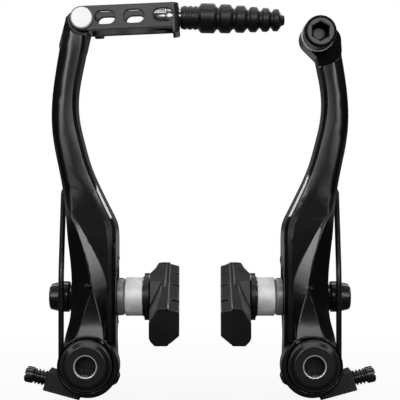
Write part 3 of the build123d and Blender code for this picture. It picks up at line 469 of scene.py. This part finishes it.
moulded_plastic = make_finish(
    "moulded_plastic", grey(0.006), grey(0.010), 8 * MM, (0.42, 0.55), 0.3 * MM, 0.008 * MM,
)
shoe_rubber = make_finish(
    "shoe_rubber", grey(0.003), grey(0.006), 9 * MM, (0.34, 0.44), 0.4 * MM, 0.012 * MM,
    **{"Specular IOR Level": 0.4},
)
boot_rubber = make_finish(
    "boot_rubber", grey(0.002), grey(0.004), 6 * MM, (0.36, 0.46), 0.5 * MM, 0.008 * MM,
)
cast_grey = make_finish(
    "cast_grey", grey(0.56), grey(0.78), 3 * MM, (0.50, 0.62), 0.3 * MM, 0.06 * MM, metal=0.35,
)
washer_grey = make_finish(
    "washer_grey", grey(0.24), grey(0.34), 4 * MM, (0.40, 0.50), 0.25 * MM, 0.01 * MM,
    marks=turned_along("X", 0.25 * MM), metal=0.55,
)
pressed_dark = make_finish(
    "pressed_dark", grey(0.030), grey(0.060), 10 * MM, (0.30, 0.40), 0.25 * MM, 0.004 * MM,
    marks=brushed((400, 4000, 4000)), metal=0.85,
)
polished_steel = make_finish(
    "polished_steel", grey(0.66), grey(0.74), 3 * MM, (0.36, 0.46), 0.25 * MM, 0.003 * MM,
    marks=lathe_rings(*PIN_AXIS, 0.2 * MM), metal=0.4,
)
print("finishes:", len([m for m in bpy.data.materials if m.use_nodes]))

# %% [markdown]
# No edge of a real forging or pressing is perfectly sharp, and in the photograph many edges show as a thin
# light line. The solids keep their shape, and a stack of modifiers rounds what the eye sees: the loose
# triangles are joined, flat ones merged, edges over a set angle bevelled, and the shading weighted towards
# the big faces, so that they stay flat. Along the bars of the arms the crests run out into the curves, so
# there the gentle ones are shaded smooth and only true edges are bevelled.

# %% Soft edges
CREST_DEPTH = 6.9 * MM
CREST_FROM = 23.2 * MM
CREST_TO = 46 * MM
KNOT_REACH = 1.3 * MM
KNOT_DEPTH = 6 * MM
FACET_ANGLE = radians(9)
FLAT_ANGLE = radians(0.3)
BEVEL_STEPS = 2
# A height that no piece reaches
OUT_OF_REACH = 1.0


def new_tree(name, source, sizes, result, painted=False):
    """An empty tree from one shape to another, with named sizes and, if painted, a material."""
    tree = bpy.data.node_groups.new(name, "GeometryNodeTree")
    tree.interface.new_socket(source, in_out="INPUT", socket_type="NodeSocketGeometry")
    for label in sizes:
        tree.interface.new_socket(label, in_out="INPUT", socket_type="NodeSocketFloat")
    if painted:
        tree.interface.new_socket("Material", in_out="INPUT", socket_type="NodeSocketMaterial")
    tree.interface.new_socket(result, in_out="OUTPUT", socket_type="NodeSocketGeometry")
    return tree


def joined_tree():
    """Joins the triangles of a solid, and the two sides of the narrow crest on an arm."""
    tree = new_tree("joined_solid", "Solid", ["Merge Distance", "Crest Width"], "Solid")
    bench = Bench(tree)
    given = bench.add("NodeGroupInput")
    split = bench.add(
        "ShaderNodeSeparateXYZ", sockets={0: bench.add("GeometryNodeInputPosition")}, output="Y"
    )
    height = split.out("Z")
    crest = split.math("LESS_THAN", -CREST_DEPTH) * height.math("GREATER_THAN", CREST_FROM)
    crest = crest * height.math("LESS_THAN", CREST_TO)
    merged = bench.add(
        "GeometryNodeMergeByDistance", sockets={"Geometry": given, "Distance": given.out("Merge Distance")}
    )
    single = bench.add("GeometryNodeMergeByDistance", sockets={
        "Geometry": merged,
        "Selection": crest,
        "Distance": given.out("Crest Width"),
    })
    bench.add("NodeGroupOutput", sockets={0: single})
    return tree


def edges_tree():
    """Shades a solid smooth between its edges, and weighs the edges that are to be rounded."""
    tree = new_tree("weighed_edges", "Solid", [
        "Facet Angle", "Edge Angle", "Round Above", "Round Angle",
        "Crest Above", "Crest Angle", "Least Length", "Knot Height",
    ], "Solid")
    bench = Bench(tree)
    given = bench.add("NodeGroupInput")
    split = bench.add(
        "ShaderNodeSeparateXYZ", sockets={0: bench.add("GeometryNodeInputPosition")}, output="Z"
    )
    bare = bench.add("GeometryNodeSetMeshNormal", sockets={"Mesh": given, "Remove Custom": True})
    smooth = bench.add("GeometryNodeSetShadeSmooth", sockets={"Geometry": bare, "Shade Smooth": True})
    turn = bench.add("GeometryNodeInputMeshEdgeAngle")
    above = split.math("GREATER_THAN", given.out("Round Above"))
    limit = (above * given.out("Round Angle")).math("MAXIMUM", given.out("Facet Angle"))
    facet = bench.add("FunctionNodeCompare", {"operation": "LESS_THAN"}, {0: turn, 1: limit})
    crisp = bench.add("GeometryNodeSetShadeSmooth", {"domain": "EDGE"}, {
        "Geometry": smooth,
        "Shade Smooth": facet,
    })
    ends = bench.add("GeometryNodeInputMeshEdgeVertices", output="Position 1")
    length = bench.add(
        "ShaderNodeVectorMath", {"operation": "DISTANCE"}, {0: ends, 1: ends.out("Position 2")}, "Value"
    )
    crest = split.math("GREATER_THAN", given.out("Crest Above")) * given.out("Crest Angle")
    least = crest.math("MAXIMUM", given.out("Edge Angle"))
    knot = (split - given.out("Knot Height")).math("ABSOLUTE").math("LESS_THAN", KNOT_REACH)
    plain = 1 - knot * split.out("Y").math("LESS_THAN", -KNOT_DEPTH)
    long_enough = length.math("GREATER_THAN", given.out("Least Length"))
    weight = turn.math("GREATER_THAN", least) * long_enough * plain
    weighed = bench.add("GeometryNodeStoreNamedAttribute", {"data_type": "FLOAT", "domain": "EDGE"}, {
        "Geometry": crisp,
        "Name": "bevel_weight_edge",
        "Value": weight,
    })
    bench.add("NodeGroupOutput", sockets={0: weighed})
    return tree


JOINED = joined_tree()
EDGES = edges_tree()
SHADING = {
    "Merge Distance": 0.002 * MM,
    "Crest Width": 0.0,
    "Facet Angle": FACET_ANGLE,
    "Round Above": OUT_OF_REACH,
    "Round Angle": FACET_ANGLE,
    "Crest Above": OUT_OF_REACH,
    "Crest Angle": FACET_ANGLE,
    "Least Length": 0.0,
    "Knot Height": -OUT_OF_REACH,
}
PAD_SHADING = {
    **SHADING,
    "Least Length": 0.8 * MM,
}
ARM_SHADING = {
    **SHADING,
    "Crest Width": 0.4 * MM,
    "Round Above": 46 * MM,
    "Round Angle": radians(33),
    "Crest Above": 36 * MM,
    "Crest Angle": radians(70),
    "Least Length": 0.3 * MM,
    "Knot Height": 23.0 * MM,
}


def socket_of(tree, name):
    """The identifier of a tree's named input, which is what a modifier is set by."""
    for item in tree.interface.items_tree:
        if item.in_out == "INPUT" and item.name == name:
            return item.identifier


def add_tree(node, tree, inputs):
    """Adds a tree to a solid's modifiers and sets those of the inputs that it has."""
    modifier = node.modifiers.new(tree.name, "NODES")
    modifier.node_group = tree
    for label, value in inputs.items():
        if socket_of(tree, label):
            modifier[socket_of(tree, label)] = value


def soften(node, width, angle, shading):
    """Rounds the edges of a solid that turn by more than this angle, in degrees."""
    inputs = {**shading, "Edge Angle": radians(angle)}
    add_tree(node, JOINED, inputs)
    flat = node.modifiers.new("flat", "DECIMATE")
    flat.decimate_type = "DISSOLVE"
    flat.angle_limit = FLAT_ANGLE
    add_tree(node, EDGES, inputs)
    bevel = node.modifiers.new("bevel", "BEVEL")
    bevel.limit_method = "WEIGHT"
    bevel.width = width
    bevel.segments = BEVEL_STEPS
    bevel.use_clamp_overlap = False
    bevel.loop_slide = False
    weighted = node.modifiers.new("weighted", "WEIGHTED_NORMAL")
    weighted.keep_sharp = True


# Finish, width of the soft edge and the least angle that counts as an edge, in degrees
DRESS = {
    "arm": (satin_paint, 0.25 * MM, 15.0),
    "pivot_bolt": (turned_black, 0.16 * MM, 25.0),
    "pivot_bushing": (turned_steel, 0.15 * MM, 25.0),
    "spring_holder": (moulded_plastic, 0.25 * MM, 25.0),
    "stopper_pin": (turned_steel, 0.1 * MM, 25.0),
    "brake_pad": (shoe_rubber, 0.25 * MM, 20.0),
    "pad_stud": (stud_steel, 0.2 * MM, 25.0),
    "pad_washer": (oiled_steel, 0.1 * MM, 25.0),
    "spacer": (cast_grey, 0.25 * MM, 25.0),
    "inner_dome_washer": (washer_grey, 0.2 * MM, 25.0),
    "outer_dome_washer": (oiled_steel, 0.15 * MM, 25.0),
    "outer_cup_washer": (oiled_steel, 0.15 * MM, 25.0),
    "shoe_nut": (oiled_steel, 0.18 * MM, 25.0),
}
SINGLE_DRESS = {
    "link_channel": (pressed_dark, 0.22 * MM, 25.0),
    "link_pin": (polished_steel, 0.12 * MM, 25.0),
    "cable_clamp_bolt": (clamp_black, 0.12 * MM, 25.0),
    "cable_clamp_washer": (bright_zinc, 0.2 * MM, 25.0),
}
OWN_SHADING = {"arm": ARM_SHADING, "brake_pad": PAD_SHADING}
PAIR_DRESS = {f"{name}_{piece}": dress for piece, dress in DRESS.items() for name in SIDES}
for name, (finish, width, angle) in {**PAIR_DRESS, **SINGLE_DRESS}.items():
    nodes[name].material_slots[0].material = finish
    soften(nodes[name], width, angle, OWN_SHADING.get(name.split("_", 1)[1], SHADING))
print("softened:", len(PAIR_DRESS) + len(SINGLE_DRESS))

# %% [markdown]
# The boot is a soft rubber bellows that keeps dirt out of the cable's end. It is round, so it is turned on
# a lathe in code. Three fine ribs grip the ferrule, then six lobes grow thinner towards the tip: each has a
# flat crown between two sloping shoulders, and a narrow groove parts it from the next. The profile runs on
# round the tip and back along the bore, which closes the skin with no seam.

# %% Cable boot
BOOT_ORIGIN = Vector((-6.6, 0, 109.127)) * MM
BOOT_SLOPE = radians(-1.6)
# Along the boot in millimetres: where each rib or lobe starts and ends, and the radius of its crown
BOOT_LOBES = [
    (0.9, 2.5, 3.75),
    (2.75, 4.25, 3.75),
    (4.5, 5.9, 3.75),
    (6.1, 11.95, 4.70),
    (12.4, 17.0, 4.55),
    (17.5, 21.5, 4.28),
    (21.85, 25.45, 4.00),
    (25.8, 29.1, 3.75),
    (29.25, 32.3, 3.50),
]
LOBE_SHOULDER = 0.85
LOBE_DEPTH = 1.15
RIB_SHOULDER = 0.45
RIB_DEPTH = 0.3
RIB_LENGTH = 2.0
CORNER_SOFTNESS = 0.3
FERRULE_RADIUS = 2.95
BOOT_START = 0.5
BOOT_TIP = (33.5, 1.55)
TIP_NECK = (0.2, 0.3)
TIP_ROUND = (0.3, 0.2)
BOOT_BORE = 1.0
BORE_FLOOR = 4.4


def soft_corner(before, corner, after, reach):
    """Three points that go round a corner of a profile, from this far before it to as far after."""
    corner = Vector(corner)
    first = corner + (Vector(before) - corner).normalized() * reach
    last = corner + (Vector(after) - corner).normalized() * reach
    middle = (first + last) / 4 + corner / 2
    return [tuple(point) for point in (first, middle, last)]


def lobe(start, end, crown):
    """One lobe of the boot, from groove to groove."""
    fine = end - start < RIB_LENGTH
    shoulder, depth = (RIB_SHOULDER, RIB_DEPTH) if fine else (LOBE_SHOULDER, LOBE_DEPTH)
    rise, fall = (start, crown - depth), (end, crown - depth)
    first, last = (start + shoulder, crown), (end - shoulder, crown)
    reach = CORNER_SOFTNESS * shoulder
    return [rise, *soft_corner(rise, first, last, reach), *soft_corner(first, last, fall, reach), fall]


def lathe(name, profile, origin, run, segments=72):
    """A closed profile of (along, radius), in millimetres, turned round an axis."""
    run = Vector(run).normalized()
    side = run.orthogonal().normalized()
    up = run.cross(side)
    verts = []
    for along, radius in profile:
        for step in range(segments):
            turn = 2 * pi * step / segments
            spoke = side * cos(turn) + up * sin(turn)
            verts.append(origin + (run * along + spoke * radius) * MM)
    faces = []
    rows = len(profile)
    for row in range(rows):
        first = row * segments
        second = (row + 1) % rows * segments
        for step in range(segments):
            following = (step + 1) % segments
            faces.append((first + step, first + following, second + following, second + step))
    mesh = bpy.data.meshes.new(name)
    mesh.from_pydata(verts, [], faces)
    sheet = bmesh.new()
    sheet.from_mesh(mesh)
    bmesh.ops.recalc_face_normals(sheet, faces=sheet.faces)
    sheet.to_mesh(mesh)
    sheet.free()
    mesh.shade_smooth()
    return stand(name, mesh)


boot_profile = [(BOOT_START, FERRULE_RADIUS), (BOOT_START, BOOT_LOBES[0][2] - RIB_DEPTH)]
for start, end, crown in BOOT_LOBES:
    boot_profile += lobe(start, end, crown)
boot_profile += [
    (BOOT_LOBES[-1][1] + TIP_NECK[0], BOOT_TIP[1] + TIP_NECK[1]),
    (BOOT_TIP[0] - TIP_ROUND[0], BOOT_TIP[1]),
    (BOOT_TIP[0], BOOT_TIP[1] - TIP_ROUND[1]),
    (BOOT_TIP[0], BOOT_BORE),
    (BORE_FLOOR, BOOT_BORE),
    (BORE_FLOOR, FERRULE_RADIUS),
]
BOOT_RUN = (cos(BOOT_SLOPE), 0, sin(BOOT_SLOPE))
boot = lathe("boot", boot_profile, BOOT_ORIGIN, BOOT_RUN)
boot.data.materials.append(boot_rubber)
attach(boot, "cable_link")
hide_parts("cable_boot")
print("boot faces:", len(boot.data.polygons))

# %% [markdown]
# The ferrule holds the cable lead in the link's end wall. Through the last slot one sees more of it than
# the plain solid has: a thin bright sleeve that reaches well into the link and ends in a rounded lip. It is
# turned the same way as the boot, on the same axis.

# %% Ferrule
FERRULE_BORE = 1.3
FERRULE_SHANK = 2.9
FERRULE_END = 4.2
FERRULE_FLANGE = (-4.4, -1.85, 3.3)
SLEEVE_START = -8.7
SLEEVE_RADIUS = 2.2
SLEEVE_LIP = 0.35
# How much of the lip is left at the middle of its round
LIP_MIDDLE = 0.3
FERRULE_CREASE = radians(50)

ferrule_profile = [
    (SLEEVE_START, FERRULE_BORE),
    (SLEEVE_START, SLEEVE_RADIUS - SLEEVE_LIP),
    (SLEEVE_START + SLEEVE_LIP * LIP_MIDDLE, SLEEVE_RADIUS - SLEEVE_LIP * LIP_MIDDLE),
    (SLEEVE_START + SLEEVE_LIP, SLEEVE_RADIUS),
    (FERRULE_FLANGE[0], SLEEVE_RADIUS),
    (FERRULE_FLANGE[0], FERRULE_FLANGE[2] - SLEEVE_LIP),
    (FERRULE_FLANGE[0] + SLEEVE_LIP, FERRULE_FLANGE[2]),
    (FERRULE_FLANGE[1], FERRULE_FLANGE[2]),
    (FERRULE_FLANGE[1], FERRULE_SHANK),
    (FERRULE_END, FERRULE_SHANK),
    (FERRULE_END, FERRULE_BORE),
]
ferrule = lathe("ferrule", ferrule_profile, BOOT_ORIGIN, BOOT_RUN)
ferrule.data.materials.append(turned_steel)
ferrule.data.set_sharp_from_angle(angle=FERRULE_CREASE)
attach(ferrule, "cable_link")
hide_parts("lead_ferrule")
print("ferrule faces:", len(ferrule.data.polygons))

# %% [markdown]
# Each tension screw shows its thread between the holder's block and the head. A thread follows a rule: the
# radius rises and falls once a turn and once a pitch, so a fine cylinder whose points are pushed in and out
# by that rule is a true screw thread. Geometry Nodes does this with the sizes as named inputs.

# %% Threaded shank
SHANK_SIDES = 48
SHANK_ROWS = 120
# Slope of the thread's flanks, and how far below the core their line starts, in heights of the thread
FLANK_SLOPE = 1.7
FLANK_DROP = 0.3
# Whole turns added to keep the phase above zero
PHASE_TURNS = 100.0


def threaded_tree():
    sizes = ["Length", "Core Radius", "Crest Radius", "Pitch"]
    tree = new_tree("threaded_shank", "Blank", sizes, "Shank", painted=True)
    bench = Bench(tree)
    given = bench.add("NodeGroupInput", output="Length")
    core = given.out("Core Radius")
    rod = bench.add("GeometryNodeMeshCylinder", {"fill_type": "NGON"}, {
        "Vertices": SHANK_SIDES,
        "Side Segments": SHANK_ROWS,
        "Radius": core,
        "Depth": given,
    })
    place = bench.add("GeometryNodeInputPosition")
    split = bench.add("ShaderNodeSeparateXYZ", sockets={0: place}, output="X")
    x, y, z = split, split.out("Y"), split.out("Z")
    turn = y.math("ARCTAN2", x) / (2 * pi)
    phase = (z / given.out("Pitch") - turn + PHASE_TURNS).math("FRACT")
    ridge = ((1 - (phase * 2 - 1).math("ABSOLUTE")) * FLANK_SLOPE - FLANK_DROP).clamped()
    from_tip = (z + given / 2) / given.out("Pitch")
    faded = ridge * from_tip.math("MINIMUM", 1.0)
    grow = (core + (given.out("Crest Radius") - core) * faded) / core
    moved = bench.add("ShaderNodeCombineXYZ", sockets={0: x * grow, 1: y * grow, 2: z})
    cut = bench.add("GeometryNodeSetPosition", sockets={"Geometry": rod, "Position": moved})
    whole = bench.add("GeometryNodeRealizeInstances", sockets={"Geometry": cut})
    painted = bench.add(
        "GeometryNodeSetMaterial", sockets={"Geometry": whole, "Material": given.out("Material")}
    )
    bench.add("NodeGroupOutput", sockets={0: painted})
    return tree


def grown(name, tree, inputs, start=None):
    """The mesh that a tree of geometry nodes makes with these inputs."""
    holder = stand(name, start or bpy.data.meshes.new(name))
    add_tree(holder, tree, inputs)
    seen = holder.evaluated_get(bpy.context.evaluated_depsgraph_get())
    mesh = bpy.data.meshes.new_from_object(seen)
    mesh.name = name
    bpy.data.objects.remove(holder)
    return mesh


SCREW_POINT = (47.0, -1.2, -6.2)
SCREW_TILT = radians(13.5)
SCREW_CORE = 1.85
SCREW_CREST = 2.4
SCREW_PITCH = 1.1
SCREW_TIP = -1.4
HEAD_START = 5.9
HEAD_END = 8.7
HEAD_RADIUS = 2.55
HEAD_ROUND = 0.9
HEAD_CHAMFER = 0.25
HEAD_BORE = 0.2
HEAD_SIDES = 48
ROUND_STEPS = 8
# Width and depth of the slot, and how far the shank reaches into the head
HEAD_SLOT = (0.9, 1.2)
SHANK_INSIDE = 0.4
SCREW_CREASE = radians(40)
THREADED = threaded_tree()


def rounded_head():
    """Profile of the head from its neck round to the middle of its top."""
    profile = [
        (HEAD_START, HEAD_BORE),
        (HEAD_START, HEAD_RADIUS - HEAD_CHAMFER),
        (HEAD_START + HEAD_CHAMFER, HEAD_RADIUS),
    ]
    for step in range(ROUND_STEPS + 1):
        turn = pi / 2 * step / ROUND_STEPS
        along = HEAD_END - HEAD_ROUND * (1 - sin(turn))
        radius = HEAD_RADIUS - HEAD_ROUND * (1 - cos(turn))
        profile.append((along, radius))
    profile.append((HEAD_END, HEAD_BORE))
    return profile


def slot_cutter(origin, run):
    """A box across the screw's head."""
    box = bmesh.new()
    bmesh.ops.create_cube(box, size=1.0)
    width, depth = HEAD_SLOT
    bmesh.ops.scale(box, vec=Vector((4 * HEAD_RADIUS, width, 2 * depth)) * MM, verts=box.verts)
    turn = Vector(run).to_track_quat("Z", "Y").to_matrix().to_4x4()
    centre = origin + Vector(run) * HEAD_END * MM
    bmesh.ops.transform(box, matrix=Matrix.Translation(centre) @ turn, verts=box.verts)
    mesh = bpy.data.meshes.new("slot_cutter")
    box.to_mesh(mesh)
    box.free()
    return stand("slot_cutter", mesh)


for name, side in SIDES.items():
    run = Vector((side * cos(SCREW_TILT), 0, sin(SCREW_TILT)))
    origin = Vector((side * SCREW_POINT[0], SCREW_POINT[1], SCREW_POINT[2])) * MM
    head = lathe("head", rounded_head(), origin, run, HEAD_SIDES)
    cutter = slot_cutter(origin, run)
    cut = head.modifiers.new("slot", "BOOLEAN")
    cut.object = cutter
    cut.operation = "DIFFERENCE"
    seen = head.evaluated_get(bpy.context.evaluated_depsgraph_get())
    head_mesh = bpy.data.meshes.new_from_object(seen)
    bpy.data.objects.remove(head)
    bpy.data.objects.remove(cutter)
    shank_end = HEAD_START + SHANK_INSIDE
    shank_mesh = grown("shank", THREADED, {
        "Length": (shank_end - SCREW_TIP) * MM,
        "Core Radius": SCREW_CORE * MM,
        "Crest Radius": SCREW_CREST * MM,
        "Pitch": SCREW_PITCH * MM,
        "Material": oiled_steel,
    })
    middle = origin + run * (shank_end + SCREW_TIP) / 2 * MM
    shank_mesh.transform(Matrix.Translation(middle) @ run.to_track_quat("Z", "Y").to_matrix().to_4x4())
    joined = bmesh.new()
    joined.from_mesh(head_mesh)
    joined.from_mesh(shank_mesh)
    mesh = bpy.data.meshes.new(f"{name}_screw")
    joined.to_mesh(mesh)
    joined.free()
    mesh.materials.append(oiled_steel)
    mesh.shade_smooth()
    mesh.set_sharp_from_angle(angle=SCREW_CREASE)
    screw = stand(f"{name}_screw", mesh)
    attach(screw, f"{name}_adjuster")
    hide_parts(f"{name}_tension_screw")
    print(screw.name, "faces:", len(mesh.polygons))

# %% [markdown]
# The return spring is a length of hard wire: its foot stands in the holder and its hooked top pushes on the
# arm's lug. When the arm swings, the wire bends. Geometry Nodes rounds the corners of its route, each by its
# own radius, and sweeps a round section along it.

# %% Return springs
WIRE_RADIUS = 0.9
WIRE_SIDES = 20
WIRE_STEP = 0.6
# Corners of the wire's route, as the distance out, the depth and the height, and the bend at each
WIRE_ROUTE = [
    (44.0, -2.2, -9.5),
    (44.0, -2.2, 27.0),
    (44.8, 8.6, 54.5),
    (38.8, 8.6, 57.4),
    (38.8, 8.6, 62.5),
]
WIRE_BENDS = [0.0, 22.0, 2.6, 2.2, 0.0]
BEND_POINTS = 12


def wire_tree():
    tree = new_tree("bent_wire", "Route", ["Wire Radius", "Step"], "Wire", painted=True)
    bench = Bench(tree)
    given = bench.add("NodeGroupInput", output="Route")
    bends = bench.add("GeometryNodeInputNamedAttribute", {"data_type": "FLOAT"}, {"Name": "bend"})
    line = bench.add("GeometryNodeMeshToCurve", sockets={"Mesh": given})
    rounded = bench.add("GeometryNodeFilletCurve", {"mode": "POLY"}, {
        "Curve": line,
        "Radius": bends,
        "Count": BEND_POINTS,
    })
    even = bench.add("GeometryNodeResampleCurve", {"mode": "LENGTH"}, {
        "Curve": rounded,
        "Length": given.out("Step"),
    })
    ring = bench.add("GeometryNodeCurvePrimitiveCircle", sockets={
        "Resolution": WIRE_SIDES,
        "Radius": given.out("Wire Radius"),
    })
    swept = bench.add("GeometryNodeCurveToMesh", sockets={
        "Curve": even,
        "Profile Curve": ring,
        "Fill Caps": True,
    })
    smooth = bench.add("GeometryNodeSetShadeSmooth", sockets={"Geometry": swept, "Shade Smooth": True})
    whole = bench.add("GeometryNodeRealizeInstances", sockets={"Geometry": smooth})
    painted = bench.add(
        "GeometryNodeSetMaterial", sockets={"Geometry": whole, "Material": given.out("Material")}
    )
    bench.add("NodeGroupOutput", sockets={0: painted})
    return tree


BENT_WIRE = wire_tree()
for name, side in SIDES.items():
    route = bpy.data.meshes.new("route")
    points = [Vector((side * out, y, z)) * MM for out, y, z in WIRE_ROUTE]
    route.from_pydata(points, [(i, i + 1) for i in range(len(points) - 1)], [])
    bends = route.attributes.new("bend", "FLOAT", "POINT")
    bends.data.foreach_set("value", [bend * MM for bend in WIRE_BENDS])
    mesh = grown(f"{name}_spring", BENT_WIRE, {
        "Wire Radius": WIRE_RADIUS * MM,
        "Step": WIRE_STEP * MM,
        "Material": spring_steel,
    }, route)
    spring = stand(f"{name}_spring", mesh)
    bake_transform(spring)
    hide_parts(f"{name}_return_spring")
    print(spring.name, "faces:", len(mesh.polygons))
